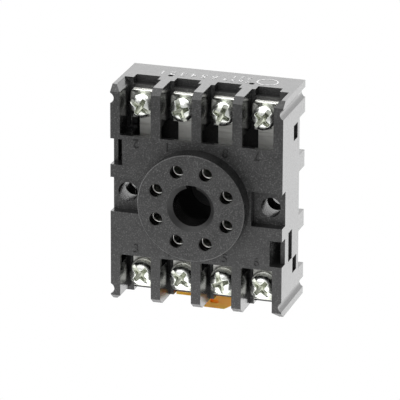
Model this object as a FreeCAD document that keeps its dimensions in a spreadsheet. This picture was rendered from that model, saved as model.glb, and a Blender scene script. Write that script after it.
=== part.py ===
import FreeCAD, Part
import math
import os
import Sketcher
from FreeCAD import Placement, Rotation, Vector

# A front-wired socket for an eight-pin plug-in relay, for a panel or a 35 mm rail.
# Frame: X to the right, Y away from the user, Z up, in millimetres.
# The origin is on the axis of the pin circle, in the plane that lies on the panel.
# A "height" below is the distance in front of that plane, so it runs along -Y.

doc = FreeCAD.newDocument("relay_socket")
sheet = doc.addObject("Spreadsheet::Sheet", "sizes")
rows = []


class Size:
    """A length that knows its number and the sheet expression that gives it."""

    def __init__(self, text, value):
        self.text = text
        self.value = value

    def joined(self, sign, other, value):
        return Size("(" + self.text + " " + sign + " " + words(other) + ")", value)

    def __add__(self, other):
        return self.joined("+", other, self.value + number(other))

    def __sub__(self, other):
        return self.joined("-", other, self.value - number(other))

    def __mul__(self, factor):
        return self.joined("*", factor, self.value * number(factor))

    def __truediv__(self, divisor):
        return self.joined("/", divisor, self.value / number(divisor))

    def __neg__(self):
        return Size("(-1 * " + self.text + ")", -self.value)


def number(length):
    """The plain number of a Size or of a number."""
    return length.value if isinstance(length, Size) else float(length)


def words(length):
    """The expression text of a Size or of a number."""
    return length.text if isinstance(length, Size) else format(float(length), ".12g")


def size(name, value, note):
    """One driving dimension: a row of the sheet with its alias, and the Size that refers to it."""
    rows.append(name)
    line = str(len(rows))
    sheet.set("A" + line, name)
    sheet.set("B" + line, str(value))
    sheet.setAlias("B" + line, name)
    sheet.set("C" + line, note)
    return Size("sizes." + name, float(value))


# Housing, front view
row_bays = 4
bay_pitch = size("bay_pitch", 9.35, "neighbouring terminal bays, centre to centre")
wall = size("wall", 2.2, "side walls and the barriers between the bays")
body_height = size("body_height", 50.3, "overall, without the lever")
middle_half = size("middle_half", 14.0, "half the height of the closed middle of the front")
flare = size("flare", 1.25, "lead-in at the ends of the two outer walls")

# Housing, depths
body_depth = size("body_depth", 17.3, "mounting plane to front face")
front_plate = size("front_plate", 2.6, "thickness of the closed middle of the front")
seat_depth = size("seat_depth", 7.9, "front face to the seat under a terminal")
seat_guide = size("seat_guide", 0.4, "height of the rails beside a terminal")
notch_depth = size("notch_depth", 9.8, "front face to the floor of a wire notch")
bevel_rise = size("bevel_rise", 1.3, "front bevel at the ends of walls and barriers, along Z")
bevel_run = size("bevel_run", 1.7, "the same bevel, along Y")

# Housing, boss with the plug's holes
boss_radius = size("boss_radius", 12.3, "raised disc round the pin holes")
boss_height = size("boss_height", 4.0, "how far the disc stands proud")
boss_edge = size("boss_edge", 0.2, "bevel on the disc's rim")
pin_circle = size("pin_circle", 17.45, "diameter of the standard octal pin circle")
pin_hole = size("pin_hole", 1.48, "radius of a pin hole at the front")
pin_rim = size("pin_rim", 0.2, "bevel at the mouth of a pin hole")
pin_lip = size("pin_lip", 1.5, "thickness of plastic at the mouth, before the bore widens")
key_bore = size("key_bore", 4.38, "radius of the centre hole")
key_rim = size("key_rim", 1.05, "width of the bevel round the centre hole")
key_rim_depth = size("key_rim_depth", 1.0, "depth of that bevel")
keyway_width = size("keyway_width", 2.3, "slot for the plug's key")
keyway_depth = size("keyway_depth", 0.95, "how far the slot runs past the centre hole")
tube_wall = size("tube_wall", 0.6, "wall of the tubes behind the front")
edge_thick = size("edge_thick", 1.0, "front plastic where a bay meets the closed middle")
edge_step = size("edge_step", 0.6, "how far that thinning runs under the closed middle")
foot_recess = size("foot_recess", 0.8, "how far it runs into the outer walls")

# Panel ears
ear_depth = size("ear_depth", 2.4, "recess for the head of a panel screw")
ear_length = size("ear_length", 7.1, "recess, from the side face inwards")
ear_half = size("ear_half", 4.0, "half the recess, along Z")
mount_edge = size("mount_edge", 3.3, "side face to the axis of a panel screw")
mount_hole = size("mount_hole", 2.25, "radius of a panel screw hole")
mount_wall = size("mount_wall", 1.0, "plastic round that hole")
mount_boss = size("mount_boss", 4.7, "length of the hole's front part, from the floor of the recess")
mount_skin = size("mount_skin", 1.0, "side wall left beside the gap behind it")

# Back with the rail channel
rail_gap = size("rail_gap", 35.5, "channel across the back, for a 35 mm rail")
rail_recess = size("rail_recess", 4.2, "depth of the channel")
flange_room = size("flange_room", 1.2, "room for the thickness of the rail's flange")
rail_grip = size("rail_grip", 1.1, "how far a hook reaches over the flange")
hook_thick = size("hook_thick", 1.6, "thickness of the fixed hook")
hook_half = size("hook_half", 8.0, "half the width of the fixed hook")
foot_low = size("foot_low", 5.1, "side feet, inner end along Z")
foot_high = size("foot_high", 8.9, "side feet, outer end along Z")

# Cover snapped in from the back
cover_thick = size("cover_thick", 2.2, "plate of the cover")
cover_half = size("cover_half", 17.3, "half the height of the cover's opening")
arm_thick = size("arm_thick", 1.2, "snap arm, along X")
nose = size("nose", 1.1, "how far a snap nose reaches into its window")
window_front = size("window_front", 8.5, "front face to a snap window")
window_run = size("window_run", 3.0, "snap window, along Y")
window_low = size("window_low", 13.7, "snap window, inner end along Z")
window_high = size("window_high", 17.2, "snap window, outer end along Z")

# Pockets for a relay clip, two of them, half a turn apart
clip_room = size("clip_room", 1.8, "slot for the clip's leg, along X")
clip_skin = size("clip_skin", 1.0, "thin wall outside the slot")
clip_low = size("clip_low", 7.0, "slot, inner end along Z")
clip_high = size("clip_high", 13.0, "slot, outer end along Z")
clip_depth = size("clip_depth", 10.0, "slot, from the front face")
clip_step = size("clip_step", 2.5, "how far the thin wall stands back")
catch_front = size("catch_front", 5.1, "front face to the window that the clip catches in")
catch_run = size("catch_run", 2.8, "that window, along Y")
catch_over = size("catch_over", 0.4, "how far it is longer than the slot at each end")

# Side grooves, top dimples
groove_radius = size("groove_radius", 1.25, "half-round groove down each side")
groove_depth = size("groove_depth", 0.8, "depth of the groove")
groove_at = size("groove_at", 22.35, "groove, centre along Z")
dimple_radius = size("dimple_radius", 0.6, "round dimple on the top face")
dimple_depth = size("dimple_depth", 0.7, "depth of the dimple")
dimple_front = size("dimple_front", 11.0, "front face to the dimple")

# Terminals
plate_thick = size("plate_thick", 1.2, "stamped terminal")
plate_width = size("plate_width", 5.3, "terminal under the screw")
seat_play = size("seat_play", 0.12, "room beside a terminal between its rails")
seat_setback = size("seat_setback", 2.4, "edge of the closed middle to the inner edge of a seat")
seat_reach = size("seat_reach", 3.9, "screw axis to the outer edge of a seat")
plate_reach = size("plate_reach", 3.05, "screw axis to the outer edge of a terminal")
neck_width = size("neck_width", 4.2, "neck from the plate to the middle")
neck_low = size("neck_low", 10.5, "where the neck turns to its contact")
neck_shift_two = size("neck_shift_two", 1.0, "neck off the bay's centre, bays 2 and 6")
neck_shift_one = size("neck_shift_one", 0.6, "the same, bays 1 and 5")
neck_shift_eight = size("neck_shift_eight", 0.45, "the same, bays 8 and 4")
neck_shift_seven = size("neck_shift_seven", 0.3, "the same, bays 7 and 3")
arm_half = size("arm_half", 1.5, "half the arm's width at the contact")
eye_radius = size("eye_radius", 2.2, "eye of the terminal under its contact")
pin_room = size("pin_room", 1.25, "radius of the hole in the eye")

# Contacts
contact_set = size("contact_set", 2.7, "face of the disc to the mouth of a contact")
sleeve_radius = size("sleeve_radius", 1.62, "contact sleeve, outside at its mouth")
sleeve_thick = size("sleeve_thick", 0.25, "rolled sheet of the sleeve")
sleeve_waist = size("sleeve_waist", 0.23, "how far the sleeve narrows to grip the pin")
sleeve_mouth = size("sleeve_mouth", 1.5, "length of the funnel at the mouth")
sleeve_slit = size("sleeve_slit", 0.5, "slit along the sleeve")
sleeve_play = size("sleeve_play", 0.13, "room round the sleeve")

# Screws and clamp washers
screw_wall = size("screw_wall", 0.33, "plastic between the cover's opening and a screw's hole")
shank_radius = size("shank_radius", 1.72, "M3.5 shank")
shank_length = size("shank_length", 6.5, "under the head")
thread_play = size("thread_play", 0.05, "room round the shank")
head_radius = size("head_radius", 2.72, "pan head")
head_height = size("head_height", 2.3, "pan head")
head_round = size("head_round", 0.85, "rounding of the head's edge")
slot_width = size("slot_width", 0.9, "straight slot across the head")
slot_depth = size("slot_depth", 0.9, "depth of the slot")
cross_half = size("cross_half", 1.75, "reach of the cross recess")
cross_depth = size("cross_depth", 1.6, "depth of the cross recess")
cross_slope = size("cross_slope", 12, "slope of the cross recess's walls, in degrees")
screw_room = size("screw_room", 0.35, "room round the shank in the plastic")
screw_well = size("screw_well", 4.9, "depth of the hole under a terminal")
washer_thick = size("washer_thick", 0.9, "clamp washer")
washer_radius = size("washer_radius", 3.1, "its round part")
tail_root = size("tail_root", 1.65, "half the washer's tail where it leaves the round part")
tail_end = size("tail_end", 2.3, "half the tail at its end, which keeps the washer from turning")
tail_start = size("tail_start", 2.5, "screw axis to the root of the tail")
tail_reach = size("tail_reach", 3.35, "screw axis to the end of the tail")

# Rail lever
lever_half = size("lever_half", 9.0, "half the wide part")
lever_thick = size("lever_thick", 2.0, "sheet of the lever")
lever_end = size("lever_end", 27.7, "axis to the lower edge of the wide part")
tab_half = size("tab_half", 5.0, "half the pull tab")
tab_end = size("tab_end", 30.0, "axis to the end of the pull tab")
tab_tip = size("tab_tip", 2.3, "half the straight end of the pull tab")
tab_slope = size("tab_slope", 1.5, "height of the tab's sloping corners")
pull_half = size("pull_half", 1.0, "half the screwdriver recess in the tab")
pull_width = size("pull_width", 1.0, "screwdriver recess, along Z")
pull_depth = size("pull_depth", 1.1, "screwdriver recess, along Y")
pull_rim = size("pull_rim", 1.2, "tab left below that recess")
lever_travel = size("lever_travel", 3.0, "travel that frees the rail")
lever_play = size("lever_play", 0.12, "room round the lever")
guide_lip = size("guide_lip", 1.2, "how far the guides reach behind the lever")
stop_half = size("stop_half", 1.8, "half the width of the stop in the lever's window")
stop_length = size("stop_length", 2.0, "stop, along Z")
stop_at = size("stop_at", 23.6, "axis to the lower face of the stop")
lever_lead = size("lever_lead", 1.2, "slope that the rail pushes against")

play = size("play", 0.1, "room between the cover and the housing")
overrun = size("overrun", 1.0, "how far a cut runs past the face it opens through")
overlap = size("overlap", 0.2, "how far a rib sinks into the wall that carries it")

# Sizes that follow from the ones above
half_width = bay_pitch * (row_bays / 2) + wall / 2
half_height = body_height / 2
inner_half = half_width - wall
bay_half = (bay_pitch - wall) / 2
front = body_depth
nose_front = body_depth + boss_height
plate_back = body_depth - front_plate
seat = body_depth - seat_depth
terminal_front = seat + plate_thick
screw_at = cover_half + screw_wall + screw_room + shank_radius
seat_inner = middle_half + seat_setback
seat_outer = screw_at + seat_reach
plate_outer = screw_at + plate_reach
rail_top = seat + seat_guide
notch_floor = body_depth - notch_depth
cover_front = rail_recess + cover_thick
seat_half = plate_width / 2 + seat_play
mount_at = half_width - mount_edge
pillar_in = mount_at - mount_hole - mount_wall
pillar_back = body_depth - ear_depth - mount_boss
pillar_half = mount_hole + mount_wall
clip_out = half_width - clip_skin
clip_in = clip_out - clip_room
hook_low = clip_high + mount_wall
sleeve_bore = sleeve_radius + sleeve_play
tube_radius = sleeve_bore + tube_wall
key_tube = key_bore + keyway_depth + tube_wall
pin_x = pin_circle * (math.sin(math.radians(22.5)) / 2)
pin_z = pin_circle * (math.cos(math.radians(22.5)) / 2)
lever_front = rail_recess - flange_room
lever_back = lever_front - lever_thick
rail_half = rail_gap / 2
lever_top = rail_half - rail_grip


def origin(body, role):
    """A plane or axis of the body's own origin."""
    return [item for item in body.Origin.OriginFeatures if item.Role == role][0]


def new_body(name):
    """An empty body whose label names the sub-part."""
    body = doc.addObject("PartDesign::Body", name)
    body.Label = name
    return body


def new_sketch(body, name, role, **offsets):
    """A sketch on one of the body's origin planes, moved off it by the given Sizes.

    On XZ the sketch looks back along +Y: its own Z is the height in front of the panel.
    On YZ its own Z is X, and on XY it is Z.
    """
    sketch = body.newObject("Sketcher::SketchObject", name)
    sketch.AttachmentSupport = [(origin(body, role), "")]
    sketch.MapMode = "FlatFace"
    for axis, length in offsets.items():
        sketch.setExpression("AttachmentOffset.Base." + axis, words(length))
    return sketch


def hold(sketch, kind, target, length):
    """Constrain one coordinate or radius to a length, bound to the sheet where it is a Size."""
    if kind == "Radius":
        index = sketch.addConstraint(Sketcher.Constraint(kind, target, number(length)))
    else:
        edge, point = target
        index = sketch.addConstraint(
            Sketcher.Constraint(kind, -1, 1, edge, point, number(length))
        )
    if isinstance(length, Size):
        sketch.setExpression("Constraints[" + str(index) + "]", length.text)


def add_outline(sketch, corners):
    """A closed polygon, with each corner held at its own two coordinates."""
    first = sketch.GeometryCount
    points = [Vector(number(across), number(up), 0) for across, up in corners]
    count = len(points)
    for step in range(count):
        line = Part.LineSegment(points[step], points[(step + 1) % count])
        sketch.addGeometry(line, False)
    for step in range(count):
        following = first + (step + 1) % count
        sketch.addConstraint(Sketcher.Constraint("Coincident", first + step, 2, following, 1))
    for step, (across, up) in enumerate(corners):
        hold(sketch, "DistanceX", (first + step, 1), across)
        hold(sketch, "DistanceY", (first + step, 1), up)


def add_box(sketch, left, right, low, high):
    """A rectangle between four coordinates."""
    add_outline(sketch, [(left, low), (right, low), (right, high), (left, high)])


def add_circle(sketch, across, up, radius):
    """A circle held at its centre and radius."""
    centre = Vector(number(across), number(up), 0)
    edge = sketch.addGeometry(Part.Circle(centre, Vector(0, 0, 1), number(radius)), False)
    hold(sketch, "DistanceX", (edge, 3), across)
    hold(sketch, "DistanceY", (edge, 3), up)
    hold(sketch, "Radius", edge, radius)


def add_feature(body, kind, sketch, length=None, both=False):
    """A Pad or a Pocket of the sketch; with no length the Pocket goes right through."""
    feature = body.newObject("PartDesign::" + kind, sketch.Name + "_" + kind.lower())
    feature.Profile = sketch
    if length is None:
        feature.Type = "ThroughAll"
        feature.Midplane = both
    else:
        feature.setExpression("Length", words(length))
    body.Tip = feature
    return feature


def add_turn(body, kind, sketch):
    """A full Revolution or Groove about the sketch's own vertical axis."""
    feature = body.newObject("PartDesign::" + kind, sketch.Name + "_" + kind.lower())
    feature.Profile = sketch
    feature.ReferenceAxis = (sketch, ["V_Axis"])
    feature.Angle = 360
    body.Tip = feature
    return feature


def add_ring(body, name, originals, count):
    """Copies of features round the socket's axis; two copies are half a turn apart."""
    pattern = body.newObject("PartDesign::PolarPattern", name)
    pattern.Originals = originals
    pattern.Axis = (origin(body, "Y_Axis"), [""])
    pattern.Angle = 360
    pattern.Occurrences = count
    body.Tip = pattern
    return pattern


def bay_centre(place):
    """Centre of a bay along X, for places counted from 0 at the left."""
    return bay_pitch * (place - (row_bays - 1) / 2)


# Housing: one moulding, with every barrier, tube and guide in it
housing = new_body("housing")

sketch = new_sketch(housing, "block", "XZ_Plane")
add_box(sketch, -half_width, half_width, -half_height, half_height)
add_feature(housing, "Pad", sketch, front)

sketch = new_sketch(housing, "boss", "XY_Plane")
add_outline(
    sketch,
    [
        (0, -plate_back),
        (boss_radius, -plate_back),
        (boss_radius, -(nose_front - boss_edge)),
        (boss_radius - boss_edge, -nose_front),
        (0, -nose_front),
    ],
)
add_turn(housing, "Revolution", sketch)

# The channel crosses the whole back, and the feet stand in it at both sides
sketch = new_sketch(housing, "channel", "XZ_Plane", z=rail_recess)
add_box(sketch, -(half_width + overrun), half_width + overrun, -rail_half, rail_half)
add_feature(housing, "Pocket", sketch, rail_recess + overrun)

sketch = new_sketch(housing, "feet", "XZ_Plane")
for side in (-1, 1):
    ends = sorted((inner_half * side, half_width * side), key=number)
    add_box(sketch, ends[0], ends[1], foot_low, foot_high)
    add_box(sketch, ends[0], ends[1], -foot_high, -foot_low)
add_feature(housing, "Pad", sketch, rail_recess)

sketch = new_sketch(housing, "fixed_hook", "XZ_Plane", z=lever_front - hook_thick)
add_box(sketch, -hook_half, hook_half, lever_top, rail_half + overlap)
add_feature(housing, "Pad", sketch, hook_thick)

# The inside is open to the back, and the cover closes it
sketch = new_sketch(housing, "inside", "XZ_Plane", z=plate_back)
add_box(sketch, -inner_half, inner_half, -seat_inner, seat_inner)
add_feature(housing, "Pocket", sketch, plate_back - rail_recess)

sketch = new_sketch(housing, "cover_seat", "XZ_Plane", z=cover_front)
add_box(sketch, -inner_half, inner_half, -cover_half, cover_half)
add_feature(housing, "Pocket", sketch, cover_thick)

sketch = new_sketch(housing, "arm_room", "XZ_Plane", z=front - window_front)
arm_room_in = inner_half - arm_thick - play * 3
add_box(sketch, arm_room_in, inner_half, hook_low, cover_half)
add_box(sketch, arm_room_in, inner_half, -cover_half, -hook_low)
arm_rooms = add_feature(housing, "Pocket", sketch, front - window_front - rail_recess)
add_ring(housing, "arm_rooms", [arm_rooms], 2)

# Tubes round the contacts end on the terminals, and the middle tube ends at the cover
sketch = new_sketch(housing, "contact_tube", "XZ_Plane", z=terminal_front)
add_circle(sketch, pin_x, pin_z, tube_radius)
tube = add_feature(housing, "Pad", sketch, plate_back - terminal_front + overlap)
add_ring(housing, "contact_tubes", [tube], 8)

sketch = new_sketch(housing, "key_tube", "XZ_Plane", z=cover_front + play)
add_circle(sketch, 0, 0, key_tube)
add_feature(housing, "Pad", sketch, plate_back - cover_front - play + overlap)

# A panel screw's hole has a short front part in the housing, then a gap, then the cover
sketch = new_sketch(housing, "screw_boss", "XZ_Plane", z=pillar_back)
add_box(sketch, pillar_in, inner_half + overlap, -pillar_half, pillar_half)
pillar = add_feature(housing, "Pad", sketch, plate_back - pillar_back + overlap)

sketch = new_sketch(housing, "screw_gap", "XZ_Plane", z=pillar_back)
add_box(sketch, pillar_in, half_width - mount_skin, -pillar_half, pillar_half)
screw_gap = add_feature(housing, "Pocket", sketch, pillar_back - cover_front)

sketch = new_sketch(housing, "clip_well", "XZ_Plane", z=cover_front + play)
add_box(
    sketch,
    clip_in - mount_wall,
    inner_half + overlap,
    -(clip_high + mount_wall),
    -(clip_low - mount_wall),
)
well = add_feature(housing, "Pad", sketch, plate_back - cover_front - play + overlap)
add_ring(housing, "pillars_and_wells", [pillar, screw_gap, well], 2)

# Four terminal bays along the top; half a turn about the socket's axis gives the bottom row
sketch = new_sketch(housing, "bays", "XZ_Plane", z=front)
for place in range(row_bays):
    left = bay_centre(place) - bay_half
    right = bay_centre(place) + bay_half
    top = half_height + overrun
    if place == 0:
        ends = [(left - flare, top), (left - flare, half_height), (left, half_height - flare)]
        add_outline(sketch, [(left, middle_half), (right, middle_half), (right, top)] + ends)
    elif place == row_bays - 1:
        ends = [(right, half_height - flare), (right + flare, half_height), (right + flare, top)]
        add_outline(sketch, [(left, middle_half), (right, middle_half)] + ends + [(left, top)])
    else:
        add_box(sketch, left, right, middle_half, top)
bays = add_feature(housing, "Pocket", sketch, front - rail_top)

sketch = new_sketch(housing, "seats", "XZ_Plane", z=rail_top)
for place in range(row_bays):
    centre = bay_centre(place)
    add_box(sketch, centre - seat_half, centre + seat_half, seat_inner, seat_outer)
seats = add_feature(housing, "Pocket", sketch, seat_guide)

sketch = new_sketch(housing, "notches", "XZ_Plane", z=rail_top)
for place in range(row_bays):
    centre = bay_centre(place)
    top = half_height + overrun
    add_box(sketch, centre - seat_half, centre + seat_half, seat_outer, top)
notches = add_feature(housing, "Pocket", sketch, rail_top - notch_floor)

sketch = new_sketch(housing, "screw_wells", "XZ_Plane", z=seat)
for place in range(row_bays):
    add_circle(sketch, bay_centre(place), screw_at, shank_radius + screw_room)
screw_wells = add_feature(housing, "Pocket", sketch, screw_well)

# Where a bay meets the closed middle, only a thin front is left and the inside is open behind it
sketch = new_sketch(housing, "bay_feet", "XZ_Plane", z=front - edge_thick)
foot_half = inner_half + foot_recess
add_box(sketch, -foot_half, foot_half, middle_half - edge_step, seat_inner)
bay_feet = add_feature(housing, "Pocket", sketch, front - edge_thick - rail_top)

sketch = new_sketch(housing, "end_bevel", "YZ_Plane")
add_outline(
    sketch,
    [
        (-(front + overrun), half_height - bevel_rise),
        (-front, half_height - bevel_rise),
        (-front + bevel_run, half_height),
        (-front + bevel_run, half_height + overrun),
        (-(front + overrun), half_height + overrun),
    ],
)
end_bevel = add_feature(housing, "Pocket", sketch, both=True)
add_ring(housing, "both_ends", [bays, seats, notches, screw_wells, bay_feet, end_bevel], 2)

# Ears with the panel screw holes
sketch = new_sketch(housing, "ear", "XZ_Plane", z=front)
add_box(sketch, half_width - ear_length, half_width + overrun, -ear_half, ear_half)
ear = add_feature(housing, "Pocket", sketch, ear_depth)

sketch = new_sketch(housing, "panel_hole", "XZ_Plane", z=front)
add_circle(sketch, mount_at, 0, mount_hole)
panel_hole = add_feature(housing, "Pocket", sketch)

# Clip pocket: a deep slot, the thin wall outside it cut back, and a window for the catch
sketch = new_sketch(housing, "clip_slot", "XZ_Plane", z=front)
add_box(sketch, clip_in, clip_out, -clip_high, -clip_low)
clip_slot = add_feature(housing, "Pocket", sketch, clip_depth)

sketch = new_sketch(housing, "clip_notch", "XZ_Plane", z=front)
add_box(sketch, clip_in, half_width + overrun, -clip_high, -clip_low)
clip_notch = add_feature(housing, "Pocket", sketch, clip_step)

sketch = new_sketch(housing, "catch_window", "YZ_Plane", z=half_width)
catch_near = -(front - catch_front)
add_box(
    sketch, catch_near, catch_near + catch_run, -(clip_high + catch_over), -(clip_low - catch_over)
)
catch_window = add_feature(housing, "Pocket", sketch, clip_skin + overlap)

# Windows for the snap noses of the cover
sketch = new_sketch(housing, "snap_windows", "YZ_Plane", z=half_width)
snap_near = -(front - window_front)
add_box(sketch, snap_near, snap_near + window_run, window_low, window_high)
add_box(sketch, snap_near, snap_near + window_run, -window_high, -window_low)
snap_windows = add_feature(housing, "Pocket", sketch, wall + overlap)
sides = [ear, panel_hole, clip_slot, clip_notch, catch_window, snap_windows]
add_ring(housing, "both_sides", sides, 2)

# Half-round grooves down both sides
sketch = new_sketch(housing, "side_grooves", "XZ_Plane", z=front)
groove_out = half_width + groove_radius - groove_depth
for side in (-1, 1):
    add_circle(sketch, groove_out * side, groove_at, groove_radius)
    add_circle(sketch, groove_out * side, -groove_at, groove_radius)
add_feature(housing, "Pocket", sketch)

# Centre hole with its bevel and keyway
sketch = new_sketch(housing, "key_hole", "XY_Plane")
add_outline(
    sketch,
    [
        (0, -(nose_front + overrun)),
        (key_bore + key_rim, -(nose_front + overrun)),
        (key_bore + key_rim, -nose_front),
        (key_bore, -(nose_front - key_rim_depth)),
        (key_bore, -cover_front),
        (0, -cover_front),
    ],
)
add_turn(housing, "Groove", sketch)

sketch = new_sketch(housing, "keyway", "XZ_Plane", z=nose_front)
add_box(sketch, -keyway_width / 2, keyway_width / 2, 0, key_bore + keyway_depth)
add_feature(housing, "Pocket", sketch, nose_front - cover_front)

# Pin holes: a narrow mouth at the front, and a wider bore behind it for the contact
sketch = new_sketch(housing, "pin_bore", "XY_Plane", x=pin_x, z=pin_z)
add_outline(
    sketch,
    [
        (0, -(nose_front + overrun)),
        (pin_hole + pin_rim, -(nose_front + overrun)),
        (pin_hole + pin_rim, -nose_front),
        (pin_hole, -(nose_front - pin_rim)),
        (pin_hole, -(nose_front - pin_lip)),
        (sleeve_bore, -(nose_front - pin_lip)),
        (sleeve_bore, -terminal_front),
        (0, -terminal_front),
    ],
)
pin_bore = add_turn(housing, "Groove", sketch)
add_ring(housing, "pin_bores", [pin_bore], 8)

# Lever guide in the lower block: a wide slot, narrowed behind the lever, with a stop in it
sketch = new_sketch(housing, "lever_slot", "XZ_Plane", z=lever_front + lever_play)
slot_half = lever_half + lever_play
add_box(sketch, -slot_half, slot_half, -(half_height + overrun), -(rail_half - overlap))
add_feature(housing, "Pocket", sketch, lever_thick + lever_play * 2)

sketch = new_sketch(housing, "lever_opening", "XZ_Plane", z=lever_back)
opening_half = slot_half - guide_lip
add_box(sketch, -opening_half, opening_half, -(half_height + overrun), -(rail_half - overlap))
add_feature(housing, "Pocket", sketch, lever_back + overrun)

sketch = new_sketch(housing, "lever_stop", "XZ_Plane", z=lever_back)
add_box(sketch, -stop_half, stop_half, -stop_at, -(stop_at - stop_length))
add_feature(housing, "Pad", sketch, lever_thick + lever_play + overlap)

# Two round dimples on the top face, over the outer barriers
sketch = new_sketch(housing, "dimples", "XY_Plane", z=half_height)
for side in (-1, 1):
    add_circle(sketch, bay_pitch * side, -(front - dimple_front), dimple_radius)
add_feature(housing, "Pocket", sketch, dimple_depth)

# Cover: a plate with four snap arms, and pillars that press the terminals to the tubes
base = new_body("base")

sketch = new_sketch(base, "plate", "XZ_Plane", z=rail_recess)
add_box(
    sketch, -(inner_half - play), inner_half - play, -(cover_half - play), cover_half - play
)
add_feature(base, "Pad", sketch, cover_thick)

sketch = new_sketch(base, "pillar", "XZ_Plane", z=cover_front - overlap)
add_circle(sketch, pin_x, pin_z, eye_radius)
pillar = add_feature(base, "Pad", sketch, seat - cover_front + overlap)

sketch = new_sketch(base, "pillar_bore", "XZ_Plane", z=seat)
add_circle(sketch, pin_x, pin_z, pin_room)
pillar_bore = add_feature(base, "Pocket", sketch, seat - cover_front)
add_ring(base, "pillars", [pillar, pillar_bore], 8)

sketch = new_sketch(base, "panel_room", "XZ_Plane", z=cover_front)
add_circle(sketch, mount_at, 0, mount_hole)
panel_room = add_feature(base, "Pocket", sketch, cover_thick + overrun)

sketch = new_sketch(base, "arms", "XZ_Plane", z=rail_recess)
arm_out = inner_half - play
for low, high in ((hook_low, cover_half), (-cover_half, -hook_low)):
    add_box(sketch, arm_out - arm_thick, arm_out, low + play, high - play)
arms = add_feature(base, "Pad", sketch, front - window_front - play - rail_recess)

sketch = new_sketch(base, "upper_nose", "XY_Plane", z=hook_low + play)
nose_back = -(front - window_front - window_run + play)
nose_tip = -(front - window_front - play)
add_outline(
    sketch,
    [
        (arm_out - overlap, nose_back),
        (arm_out + nose, nose_back),
        (arm_out, nose_tip),
        (arm_out - overlap, nose_tip),
    ],
)
nose_length = window_high - hook_low - play * 2
upper_nose = add_feature(base, "Pad", sketch, nose_length)

sketch = new_sketch(base, "lower_nose", "XY_Plane", z=-(window_high - play))
add_outline(
    sketch,
    [
        (arm_out - overlap, nose_back),
        (arm_out + nose, nose_back),
        (arm_out, nose_tip),
        (arm_out - overlap, nose_tip),
    ],
)
lower_nose = add_feature(base, "Pad", sketch, nose_length)
add_ring(base, "both_sides_of_cover", [panel_room, arms, upper_nose, lower_nose], 2)

# Rail lever: a sheet that slides down out of the rail's way
rail_lever = new_body("rail_lever")

sketch = new_sketch(rail_lever, "sheet", "XZ_Plane", z=lever_back)
add_outline(
    sketch,
    [
        (-lever_half, -lever_top),
        (-lever_half, -lever_end),
        (-tab_half, -lever_end),
        (-tab_half, -(tab_end - tab_slope)),
        (-tab_tip, -tab_end),
        (tab_tip, -tab_end),
        (tab_half, -(tab_end - tab_slope)),
        (tab_half, -lever_end),
        (lever_half, -lever_end),
        (lever_half, -lever_top),
    ],
)
add_feature(rail_lever, "Pad", sketch, lever_thick)

# The window takes the stop: it clears it by the play at rest and after the whole travel
sketch = new_sketch(rail_lever, "stop_window", "XZ_Plane", z=lever_front)
window_half = stop_half + lever_play
window_end = stop_at + lever_play
window_start = stop_at - stop_length - lever_travel - lever_play
add_box(sketch, -window_half, window_half, -window_end, -window_start)
add_feature(rail_lever, "Pocket", sketch)

sketch = new_sketch(rail_lever, "pull_recess", "XZ_Plane", z=lever_front)
pull_low = -(tab_end - pull_rim)
add_box(sketch, -pull_half, pull_half, pull_low, pull_low + pull_width)
add_feature(rail_lever, "Pocket", sketch, pull_depth)

sketch = new_sketch(rail_lever, "rail_slope", "YZ_Plane")
add_outline(
    sketch,
    [
        (-(lever_back - overrun), -(lever_top - overrun)),
        (-(lever_back - overrun), -(lever_top + lever_lead)),
        (-lever_back, -(lever_top + lever_lead)),
        (-(lever_back + lever_lead), -lever_top),
        (-(lever_back + lever_lead), -(lever_top - overrun)),
    ],
)
add_feature(rail_lever, "Pocket", sketch, both=True)


def build_terminal(name, place, shift, eye_x, eye_z):
    """A stamped terminal: plate under the screw, neck, arm and an eye behind the contact."""
    body = new_body(name)
    centre = bay_centre(place)
    neck = centre + shift
    half = neck_width / 2

    sketch = new_sketch(body, name + "_plate", "XZ_Plane", z=seat)
    plate_in = seat_inner - play * 2
    neck_top = seat_inner - play
    add_box(sketch, centre - plate_width / 2, centre + plate_width / 2, plate_in, plate_outer)
    add_feature(body, "Pad", sketch, plate_thick)

    sketch = new_sketch(body, name + "_neck", "XZ_Plane", z=seat)
    add_outline(
        sketch,
        [
            (neck - half, neck_top),
            (neck - half, neck_low),
            (eye_x - arm_half, eye_z),
            (eye_x + arm_half, eye_z),
            (neck + half, neck_low),
            (neck + half, neck_top),
        ],
    )
    add_feature(body, "Pad", sketch, plate_thick)

    sketch = new_sketch(body, name + "_eye", "XZ_Plane", z=seat)
    add_circle(sketch, eye_x, eye_z, eye_radius)
    add_feature(body, "Pad", sketch, plate_thick)

    sketch = new_sketch(body, name + "_holes", "XZ_Plane", z=terminal_front)
    add_circle(sketch, eye_x, eye_z, pin_room)
    add_circle(sketch, centre, screw_at, shank_radius + thread_play)
    add_feature(body, "Pocket", sketch)
    return body


def build_contact(name):
    """A rolled sleeve, slit along one side, narrowed behind its mouth to grip the pin."""
    body = new_body(name)
    mouth = nose_front - contact_set
    waist = sleeve_radius - sleeve_waist
    sketch = new_sketch(body, name + "_wall", "XY_Plane")
    add_outline(
        sketch,
        [
            (sleeve_radius - sleeve_thick, -mouth),
            (sleeve_radius, -mouth),
            (waist, -(mouth - sleeve_mouth)),
            (waist, -terminal_front),
            (waist - sleeve_thick, -terminal_front),
            (waist - sleeve_thick, -(mouth - sleeve_mouth)),
        ],
    )
    add_turn(body, "Revolution", sketch)

    sketch = new_sketch(body, name + "_slit", "XZ_Plane", z=nose_front)
    add_box(sketch, -sleeve_slit / 2, sleeve_slit / 2, 0, sleeve_radius + overrun)
    add_feature(body, "Pocket", sketch)
    return body


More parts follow.
